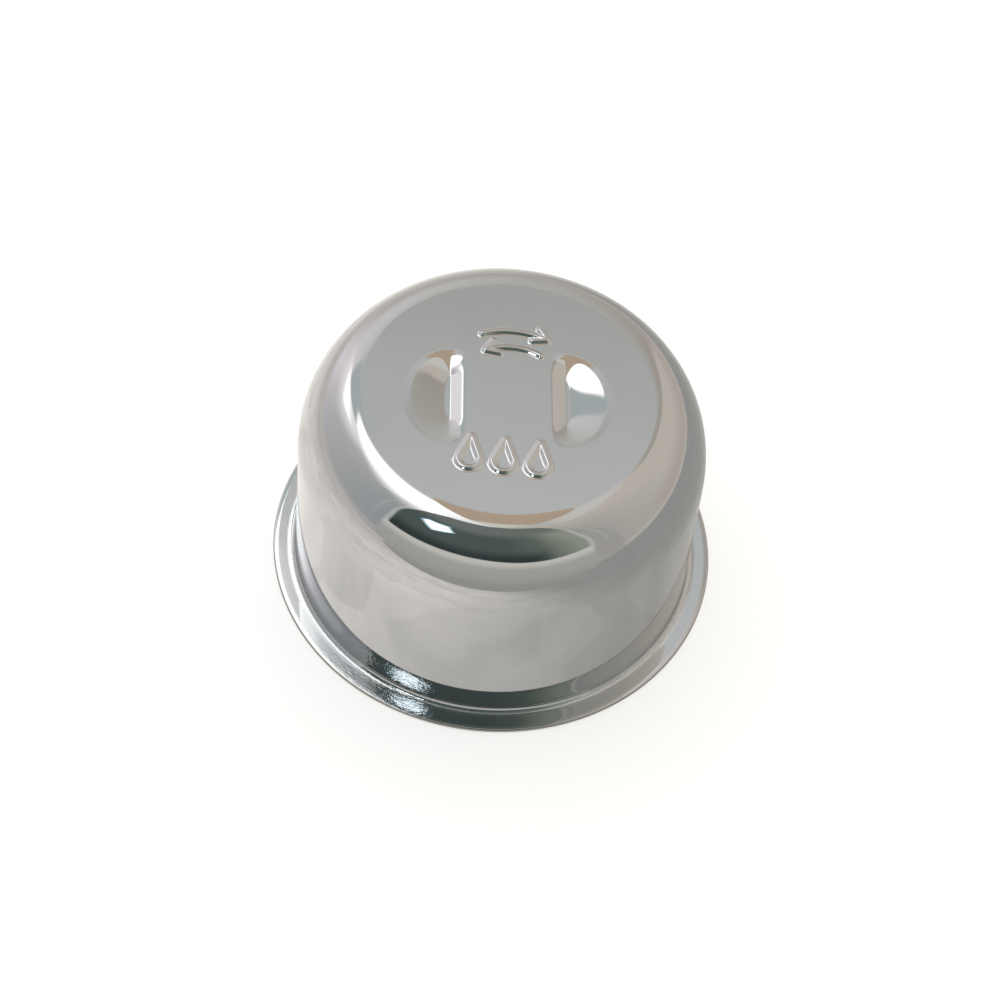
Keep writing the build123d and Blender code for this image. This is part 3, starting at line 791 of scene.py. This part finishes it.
weave_points = []
weave_faces = []
rows = int(weave_outer / wire_pitch)
for turned in (False, True):
    for row in range(-rows, rows + 1):
        for start, end in chords(row * wire_pitch):
            if end - start < wire_pitch:
                continue
            vertices, faces = wire_bar(start, end, row * wire_pitch, row, turned)
            base = len(weave_points)
            weave_points += vertices
            weave_faces += [tuple(base + corner for corner in face) for face in faces]
inlet_weave = mesh_piece("inlet_weave", weave_points, weave_faces)
inlet_weave.data.materials.append(wire)
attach(inlet_weave, "root")
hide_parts("inlet_gauze")

# %% [markdown]
# ## The floor
# The cap stands on a plain white sheet. The floor is a matt surface that takes the soft shadow,
# and a little light of its own, only for the camera and for mirrors, lifts it to white.

# %% Floor
floor_half = 3.0
floor_z = -0.00005
floor_mesh = bpy.data.meshes.new("floor")
corners = [(-floor_half, -floor_half), (floor_half, -floor_half)]
corners += [(floor_half, floor_half), (-floor_half, floor_half)]
floor_mesh.from_pydata([(x, y, floor_z) for x, y in corners], [], [(0, 1, 2, 3)])
floor = bpy.data.objects.new("floor", floor_mesh)
bpy.context.scene.collection.objects.link(floor)
print("the floor lies at", round(floor_z / MM, 3), "mm")

# %% [markdown]
# The sheet curls up and ends before the cap in a wide curve, and past that edge mirrors see the
# floor duller. A ray's kind tells the camera's look at the floor from a mirror's.

# %% Where the sheet lies
sheet_edge = 0.142
sheet_curve = 1.15
sheet_end = (-0.47, -0.42)
edge_blur = 0.003


def ray_kinds(tree):
    """1 for rays from the camera, and 1 for rays that a mirror or something clear has sent on."""
    ray = add(tree, "ShaderNodeLightPath").outputs
    mirrored = calc(tree, "MAXIMUM", ray["Is Glossy Ray"], ray["Is Transmission Ray"])
    return ray["Is Camera Ray"], mirrored


white_sheet = bpy.data.materials.new("white_sheet")
white_sheet.use_nodes = True
tree = white_sheet.node_tree
tree.nodes.clear()
from_camera, mirrored = ray_kinds(tree)
place = add(tree, "ShaderNodeTexCoord").outputs["Object"]
parts = add(tree, "ShaderNodeSeparateXYZ", {0: place}).outputs
curve = calc(tree, "MULTIPLY", calc(tree, "MULTIPLY", parts[0], parts[0]), sheet_curve)
past_edge = calc(tree, "ADD", calc(tree, "ADD", parts[1], curve), sheet_edge)
on_sheet = step(tree, past_edge, -edge_blur, edge_blur)
on_sheet = calc(tree, "MULTIPLY", on_sheet, step(tree, parts[1], *sheet_end))
print("the sheet ends", round(sheet_edge / MM, 1), "mm before the axis")

# %% [markdown]
# The cap's wall mirrors the sheet at a flat angle, which shows what the camera doesn't see. What
# mirrors see of the sheet has painted light and shade: painted shade along faint creases and on
# flat folds, each fold shaded a little differently, and painted light that fades away from the cap
# and to the right.

# %% How the sheet looks in a mirror
black = (0, 0, 0, 1)
near_glow = (0.59, 0.55, 0.52, 1)
far_glow = (0.27, 0.24, 0.23, 1)
shaded_fold_glow = (0.16, 0.15, 0.15, 1)
right_glow = (0.0, 0.005, 0.01, 1)
paper_white = (0.80, 0.795, 0.79, 1)
paper_shaded_right = (0.60, 0.60, 0.60, 1)
paper_shade_in_folds = (0.55, 0.55, 0.55, 1)
beyond_near = (0.68, 0.68, 0.66, 1)
beyond_far = (0.80, 0.80, 0.78, 1)
folds_per_metre = 42.0
from_axis = add(tree, "ShaderNodeVectorMath", {0: place}, operation="LENGTH").outputs["Value"]
rightwards = step(tree, parts[0], -0.045, 0.085)
# Painted shade: faint crease lines, and a shade that differs from fold to fold as if each were tilted.
crease_shade = noise(tree, stretched(tree, place, (24.0, 70.0, 1.0), (0.0, 0.0, 0.6)), 1.0, 4.0, 0.55)
crease_shade = step(tree, crease_shade, 0.42, 0.70, 0.0, 0.22)
folds = add(tree, "ShaderNodeTexVoronoi", {"Vector": place, "Scale": folds_per_metre, "Randomness": 1.0})
fold_cell_shade = add(tree, "ShaderNodeSeparateXYZ", {0: folds.outputs["Color"]}).outputs[0]
crease_and_fold_shade = calc(tree, "ADD", crease_shade, calc(tree, "MULTIPLY", fold_cell_shade, 0.24))
# Painted light for mirrors: the sheet's glow fades away from the cap, is dimmer in creases and folds, and
# almost gone on the right.
sheet_glow = mix(tree, step(tree, from_axis, 0.06, 0.30), near_glow, far_glow)
sheet_glow = mix(tree, crease_and_fold_shade, sheet_glow, shaded_fold_glow)
sheet_glow = mix(tree, rightwards, sheet_glow, right_glow)
mirror_glow = mix(tree, on_sheet, black, sheet_glow)
beyond = mix(tree, step(tree, from_axis, 0.14, 0.55), beyond_near, beyond_far)
# Painted shade for mirrors: the sheet's colour is darker on the right and in creases and folds.
paper = mix(tree, calc(tree, "MULTIPLY", rightwards, 0.5), paper_white, paper_shaded_right)
paper = mix(tree, crease_and_fold_shade, paper, paper_shade_in_folds)
mirror_colour = mix(tree, on_sheet, beyond, paper)

# %% The floor's finish
lift_to_white = (0.55, 0.55, 0.55, 1)


def sheet(colour, glow):
    """A matt surface of that colour with a light of its own."""
    matt = add(tree, "ShaderNodeBsdfDiffuse", {"Color": colour}).outputs[0]
    shine = add(tree, "ShaderNodeEmission", {"Color": glow, "Strength": 1.0}).outputs[0]
    return add(tree, "ShaderNodeAddShader", {0: matt, 1: shine}).outputs[0]


seen_plain = sheet(paper_white, mix(tree, from_camera, black, lift_to_white))
seen_in_mirror = sheet(mirror_colour, mirror_glow)
either = add(tree, "ShaderNodeMixShader", {0: mirrored, 1: seen_plain, 2: seen_in_mirror}).outputs[0]
add(tree, "ShaderNodeOutputMaterial", {"Surface": either})
floor_mesh.materials.append(white_sheet)
print("finish:", white_sheet.name, "with", len(tree.nodes), "nodes")

# %% [markdown]
# ## The light tent
# Chrome has almost no colour of its own: it shows the room. Small shiny things are shot in a
# light tent, a box of white cloth with an open front for the camera. The world here is such a
# tent, painted by direction: a cool bright cloth on the left, a warmer one on the right, a grey
# one behind, a lamp that glows through high on the left, and the dark room seen through the
# open front with its window. Azimuths and elevations are in degrees.

# %% Tent directions
world = bpy.data.worlds.new("light_tent")
bpy.context.scene.world = world
world.use_nodes = True
tree = world.node_tree
tree.nodes.clear()
direction = add(tree, "ShaderNodeTexCoord").outputs["Generated"]
parts = add(tree, "ShaderNodeSeparateXYZ", {0: direction}).outputs
to_degrees = 180 / pi
around = calc(tree, "MULTIPLY", calc(tree, "ARCTAN2", parts[1], parts[0]), to_degrees)
leftwards = calc(tree, "MULTIPLY", parts[0], -1.0)
frontwards = calc(tree, "MULTIPLY", parts[1], -1.0)
around_left = calc(tree, "MULTIPLY", calc(tree, "ARCTAN2", frontwards, leftwards), to_degrees)
from_front = calc(tree, "MULTIPLY", calc(tree, "ARCTAN2", parts[0], frontwards), to_degrees)
past_corner = calc(tree, "ADD", around_left, 55.0)
behind_left = step(tree, around_left, -82, -76)
on_left = step(tree, parts[0], -0.01, 0.01, 1.0, 0.0)
upward = calc(tree, "MULTIPLY", calc(tree, "ARCSINE", parts[2]), to_degrees)


def between(value, low, high, soft):
    """1 between two limits and 0 outside, with soft edges."""
    rise = step(tree, value, low - soft, low + soft)
    fall = step(tree, value, high - soft, high + soft, 1.0, 0.0)
    return calc(tree, "MULTIPLY", rise, fall)


def patch(around_low, around_high, up_low, up_high, soft_around, soft_up):
    """A soft patch of the tent, by azimuth and elevation in degrees."""
    wide = between(around, around_low, around_high, soft_around)
    tall = between(upward, up_low, up_high, soft_up)
    return calc(tree, "MULTIPLY", wide, tall)


def cloth(value, stops):
    """A colour that changes along the cloth, from stops of (degrees, colour)."""
    colour = stops[0][1]
    for (low, _), (high, next_colour) in zip(stops[:-1], stops[1:]):
        share = calc(tree, "DIVIDE", calc(tree, "SUBTRACT", value, low), high - low)
        share = calc(tree, "MINIMUM", calc(tree, "MAXIMUM", share, 0.0), 1.0)
        colour = mix(tree, share, colour, next_colour)
    return colour


# %% [markdown]
# The three walls of the tent are cloth, lit from outside by lamps: the left wall is brightest at
# its far corner, the back wall fades to the right, and the right wall is warm. All three lose
# light towards the floor.

# %% Walls of the tent
left_wall = cloth(around_left, [
    (-57, (1.05, 0.98, 1.00, 1)),
    (-48, (1.08, 1.00, 1.05, 1)),
    (-38, (0.88, 0.84, 0.88, 1)),
    (-28, (0.72, 0.71, 0.73, 1)),
    (0, (0.57, 0.58, 0.585, 1)),
    (30, (0.46, 0.50, 0.51, 1)),
])
back_wall = cloth(around, [
    (66, (0.54, 0.50, 0.44, 1)),
    (90, (0.70, 0.69, 0.65, 1)),
    (105, (0.87, 0.86, 0.85, 1)),
    (123, (1.00, 0.96, 0.98, 1)),
])
over_crown = cloth(upward, [
    (48.5, (0.60, 0.61, 0.59, 1)),
    (51.0, (0.69, 0.70, 0.685, 1)),
    (54.5, (0.76, 0.77, 0.76, 1)),
])
right_wall = cloth(around, [
    (-30, (0.58, 0.56, 0.53, 1)),
    (0, (0.70, 0.67, 0.59, 1)),
    (30, (0.80, 0.73, 0.65, 1)),
])
tent = mix(tree, step(tree, parts[0], -0.01, 0.01), left_wall, right_wall)

# %% Upper and lower parts of the walls
wall_foot = (0.63, 0.56, 0.51, 1)
floor_light = (0.80, 0.74, 0.70, 1)
hem_low = calc(tree, "ADD", calc(tree, "MULTIPLY", calc(tree, "SUBTRACT", 78.0, around), 0.34), 55.5)
over_hem = step(tree, calc(tree, "SUBTRACT", upward, hem_low), -2.5, 2.0)
over_hem = calc(tree, "MULTIPLY", over_hem, between(around, 18, 100, 6.0))
high_cloth = cloth(upward, [(70, (0.88, 0.86, 0.81, 1)), (78, (0.73, 0.73, 0.68, 1))])
tent = mix(tree, over_hem, tent, high_cloth)
tent = mix(tree, patch(65.0, 123, -90, 55, 2.0, 1.5), tent, back_wall)
tent = mix(tree, patch(79, 97.5, 47.5, 62, 2.5, 1.0), tent, over_crown)
low_on_wall = calc(tree, "MULTIPLY", between(around, -5, 122, 12.0), step(tree, upward, 6, 32, 1.0, 0.0))
tent = mix(tree, calc(tree, "MULTIPLY", low_on_wall, 0.75), tent, wall_foot)
at_floor = step(tree, upward, -3.0, 7.0, 1.0, 0.0)
tent = mix(tree, calc(tree, "MULTIPLY", at_floor, 0.8), tent, floor_light)

# %% [markdown]
# The roof is seen in the flat crown's rounded edge. It is white on the left, where most light
# falls, with a seam below it, and a beige panel hangs down from it in a V over the back wall.
# A lamp stands behind the left wall and glows through the cloth, with a soft halo about it.

# %% White roof and its seam
seam_grey = (0.60, 0.66, 0.665, 1)
on_left_wall = calc(tree, "MAXIMUM", past_corner, 0.0)
roof_over_back = step(tree, around, 98.5, 103.5, 55.7, 52.7)
roof_low = calc(tree, "ADD", calc(tree, "MULTIPLY", on_left_wall, 0.18), roof_over_back)
roof_soft = calc(tree, "ADD", calc(tree, "MULTIPLY", on_left_wall, 0.21), 0.7)
over_roof_edge = calc(tree, "DIVIDE", calc(tree, "SUBTRACT", upward, roof_low), roof_soft)
left_of_panel = calc(tree, "MULTIPLY", on_left, behind_left)
white_roof = calc(tree, "MULTIPLY", step(tree, over_roof_edge, -1.0, 1.0), left_of_panel)
seam_low = calc(tree, "SUBTRACT", 50.5, calc(tree, "MULTIPLY", calc(tree, "SUBTRACT", around, 98.0), 0.43))
over_seam_low = step(tree, calc(tree, "SUBTRACT", upward, seam_low), -1.5, 1.5)
seam = calc(tree, "MULTIPLY", between(around, 96.0, 124, 1.5), over_seam_low)
seam = calc(tree, "MULTIPLY", seam, step(tree, upward, 51.8, 53.2, 1.0, 0.0))
tent = mix(tree, seam, tent, seam_grey)

# %% Lamp behind the left wall
lamp_around_left = -48.0
lamp_upward = 43.0
halo_light = (1.55, 1.50, 1.52, 1)
lamp_light = (1.9, 1.9, 1.87, 1)
halo_wide = calc(tree, "POWER", calc(tree, "SUBTRACT", around_left, lamp_around_left), 2.0)
halo_tall = calc(tree, "POWER", calc(tree, "SUBTRACT", upward, lamp_upward), 2.0)
from_lamp = calc(tree, "SQRT", calc(tree, "ADD", halo_wide, halo_tall))
halo = calc(tree, "MULTIPLY", step(tree, from_lamp, 4.0, 26.0, 0.55, 0.0), left_of_panel)
halo = calc(tree, "MULTIPLY", halo, step(tree, around_left, -60.0, -54.0))
tent = mix(tree, halo, tent, halo_light)
roof = cloth(upward, [(75, (1.95, 1.95, 1.93, 1)), (84, (1.25, 1.26, 1.22, 1))])
tent = mix(tree, white_roof, tent, roof)

# %% Beige panel over the back wall
panel_beige = (0.68, 0.53, 0.40, 1)
panel_top = (0.93, 0.94, 0.84, 1)
panel_left = calc(tree, "MULTIPLY", calc(tree, "SUBTRACT", around, 93.0), 1.10)
panel_right = calc(tree, "MULTIPLY", calc(tree, "SUBTRACT", 86.5, around), 0.70)
panel_low = calc(tree, "MAXIMUM", calc(tree, "MAXIMUM", panel_left, panel_right), 0.0)
panel_low = calc(tree, "ADD", panel_low, 54.8)
on_panel = step(tree, calc(tree, "SUBTRACT", upward, panel_low), -0.6, 0.6)
on_panel = calc(tree, "MULTIPLY", on_panel, step(tree, parts[1], 0.0, 0.05))
panel = mix(tree, step(tree, upward, 77.0, 83.0), panel_beige, panel_top)
tent = mix(tree, on_panel, tent, panel)
tent = mix(tree, patch(124.0, 139, 35.5, 47.0, 2.0, 3.2), tent, lamp_light)

# %% [markdown]
# The open front is what makes the dark shape on the cap's shoulder. Behind it lies a dim room,
# greener on the right, with one bright window. Below it the sheet curls up to a pale edge, and
# the cloth round the opening is hemmed, so it has two faint lighter lines.

# %% Flap and apron beside and below the open front
flap_grey = (0.54, 0.52, 0.49, 1)
flap = between(around, -38, -23, 1.2)
tent = mix(tree, calc(tree, "MULTIPLY", flap, 0.8), tent, flap_grey)
apron = cloth(upward, [
    (-16, (0.44, 0.44, 0.42, 1)),
    (0, (0.55, 0.545, 0.52, 1)),
    (12, (0.58, 0.58, 0.565, 1)),
    (19, (0.84, 0.82, 0.76, 1)),
])
tent = mix(tree, patch(-148, -37, -90, 24.5, 1.5, 2.0), tent, apron)

# %% The open front and its hems
opening_foot = (22.8, 24.4)
opening_half = 46.0
opening_spread = 520.0
opening_widest = 98.0
wave_height = 1.2
hem_light = (0.82, 0.83, 0.79, 1)
to_zenith = calc(tree, "MAXIMUM", calc(tree, "SUBTRACT", 90.0, upward), 1.0)
half_width = calc(tree, "ADD", calc(tree, "DIVIDE", opening_spread, to_zenith), opening_half)
half_width = calc(tree, "MINIMUM", half_width, opening_widest)
lean = step(tree, upward, 30, 60, 2.0, 5.0)
off_centre = calc(tree, "ABSOLUTE", calc(tree, "ADD", from_front, lean))
beside = calc(tree, "SUBTRACT", off_centre, half_width)
wave = calc(tree, "SINE", calc(tree, "MULTIPLY", calc(tree, "ADD", around, 125.0), radians(4.5)))
over_wave = calc(tree, "SUBTRACT", upward, calc(tree, "MULTIPLY", wave, wave_height))
over_apron = step(tree, over_wave, *opening_foot)
open_front = calc(tree, "MULTIPLY", step(tree, beside, -0.9, 0.9, 1.0, 0.0), over_apron)
hem_height = between(upward, 22.0, 66.0, 4.0)
for hem_at, hem_width, hem_share in ((1.8, 1.2, 0.55), (9.5, 0.9, 0.22)):
    hem = calc(tree, "MULTIPLY", between(beside, hem_at - hem_width, hem_at + hem_width, 0.9), hem_height)
    tent = mix(tree, calc(tree, "MULTIPLY", hem, hem_share), tent, hem_light)

# %% [markdown]
# The window's shape is what four straight edges and its left side leave between them, with a
# bluish fringe where the light falls off.

# %% The room in front, with its window
under_window_dark = (0.050, 0.065, 0.066, 1)
room_ceiling = (0.23, 0.255, 0.235, 1)
window_fringe = (0.75, 1.08, 1.25, 1)
window_light = (3.2, 3.5, 3.6, 1)
window_left = 143.5
window_edges = [(1.0, 0.643, 33.9), (1.0, -0.818, -154.5), (-1.0, -0.80, -36.4), (-1.0, 0.214, 93.4)]
room = cloth(around, [
    (-80, (0.115, 0.15, 0.14, 1)),
    (-60, (0.17, 0.205, 0.18, 1)),
    (-50, (0.29, 0.325, 0.27, 1)),
    (-40, (0.42, 0.45, 0.38, 1)),
])
left_of_door = step(tree, around, -68, -52, 1.0, 0.0)
under_window = calc(tree, "MULTIPLY", left_of_door, step(tree, upward, 26, 44, 1.0, 0.0))
room = mix(tree, under_window, room, under_window_dark)
room = mix(tree, step(tree, upward, 62.0, 76.0), room, room_ceiling)
in_window = calc(tree, "ADD", around, window_left)
for rise, run, start in window_edges:
    edge = calc(tree, "ADD", calc(tree, "MULTIPLY", upward, rise), calc(tree, "MULTIPLY", around, run))
    in_window = calc(tree, "MINIMUM", in_window, calc(tree, "ADD", edge, start))
room = mix(tree, step(tree, in_window, -2.2, 0.6), room, window_fringe)
room = mix(tree, step(tree, in_window, 0.2, 2.2), room, window_light)
tent = mix(tree, open_front, tent, room)

# %% [markdown]
# The camera itself sees plain white where no floor is, and mirrors see the tent in full. A matt
# surface gathers light from all sides at once and can't tell one seam from another, so it gets
# the same tent as one even slope of light, brighter behind and above. That is much quicker to
# work out, and the slope's numbers were fitted to the painted tent, so its level is the same.

# %% World output
even_light = (
    (0.527, (-0.109, 0.438, 0.221)),
    (0.496, (-0.143, 0.384, 0.258)),
    (0.476, (-0.197, 0.368, 0.242)),
)
channels = {}
for channel, (level, slope) in enumerate(even_light):
    rise = add(tree, "ShaderNodeVectorMath", {0: direction, 1: slope}, operation="DOT_PRODUCT")
    channels[channel] = calc(tree, "MAXIMUM", calc(tree, "ADD", rise.outputs["Value"], level), 0.0)
even_tent = add(tree, "ShaderNodeCombineXYZ", channels).outputs[0]


def sky(colour):
    """A sky of that colour, at strength 1."""
    return add(tree, "ShaderNodeBackground", {"Color": colour, "Strength": 1.0}).outputs[0]


from_camera, mirrored = ray_kinds(tree)
around_cap = add(tree, "ShaderNodeMixShader", {0: mirrored, 1: sky(even_tent), 2: sky(tent)}).outputs[0]
white_sky = sky((1, 1, 1, 1))
seen = add(tree, "ShaderNodeMixShader", {0: from_camera, 1: around_cap, 2: white_sky}).outputs[0]
add(tree, "ShaderNodeOutputWorld", {"Surface": seen})
print("light tent painted with", len(tree.nodes), "nodes")

# %% [markdown]
# ## The camera
# The photograph looks down at the cap at about 55 degrees, from close by, and the camera is
# rolled a little. The distance was found from how much the crown and the brim differ in size,
# ten brim radii from the brim's centre. The frame is shifted slightly instead of turned, so the
# cap sits low in the picture as it does there.

# %% Camera
look_down = radians(54.94)
camera_roll = radians(6.32)
camera_distance = 0.390
pixels_per_frame = 1000
focal_pixels = 2173.5
centre_pixel = (491.8, 543.6)
camera_data = bpy.data.cameras.new("photo_camera")
camera_data.sensor_width = 36.0
camera_data.lens = focal_pixels / pixels_per_frame * camera_data.sensor_width
camera_data.shift_x = 0.5 - centre_pixel[0] / pixels_per_frame
camera_data.shift_y = centre_pixel[1] / pixels_per_frame - 0.5
camera_data.clip_start = 0.01
camera = bpy.data.objects.new("photo_camera", camera_data)
bpy.context.scene.collection.objects.link(camera)
back = Vector((0, -cos(look_down), sin(look_down)))
level = Vector((1, 0, 0))
upright = Vector((0, sin(look_down), cos(look_down)))
side = level * cos(camera_roll) + upright * sin(camera_roll)
top = upright * cos(camera_roll) - level * sin(camera_roll)
turn = Matrix((side, top, back)).transposed()
camera.matrix_world = Matrix.Translation(back * camera_distance) @ turn.to_4x4()
bpy.context.scene.camera = camera
bpy.context.scene.view_settings.view_transform = "Standard"
print("lens", round(camera_data.lens, 2), "mm")
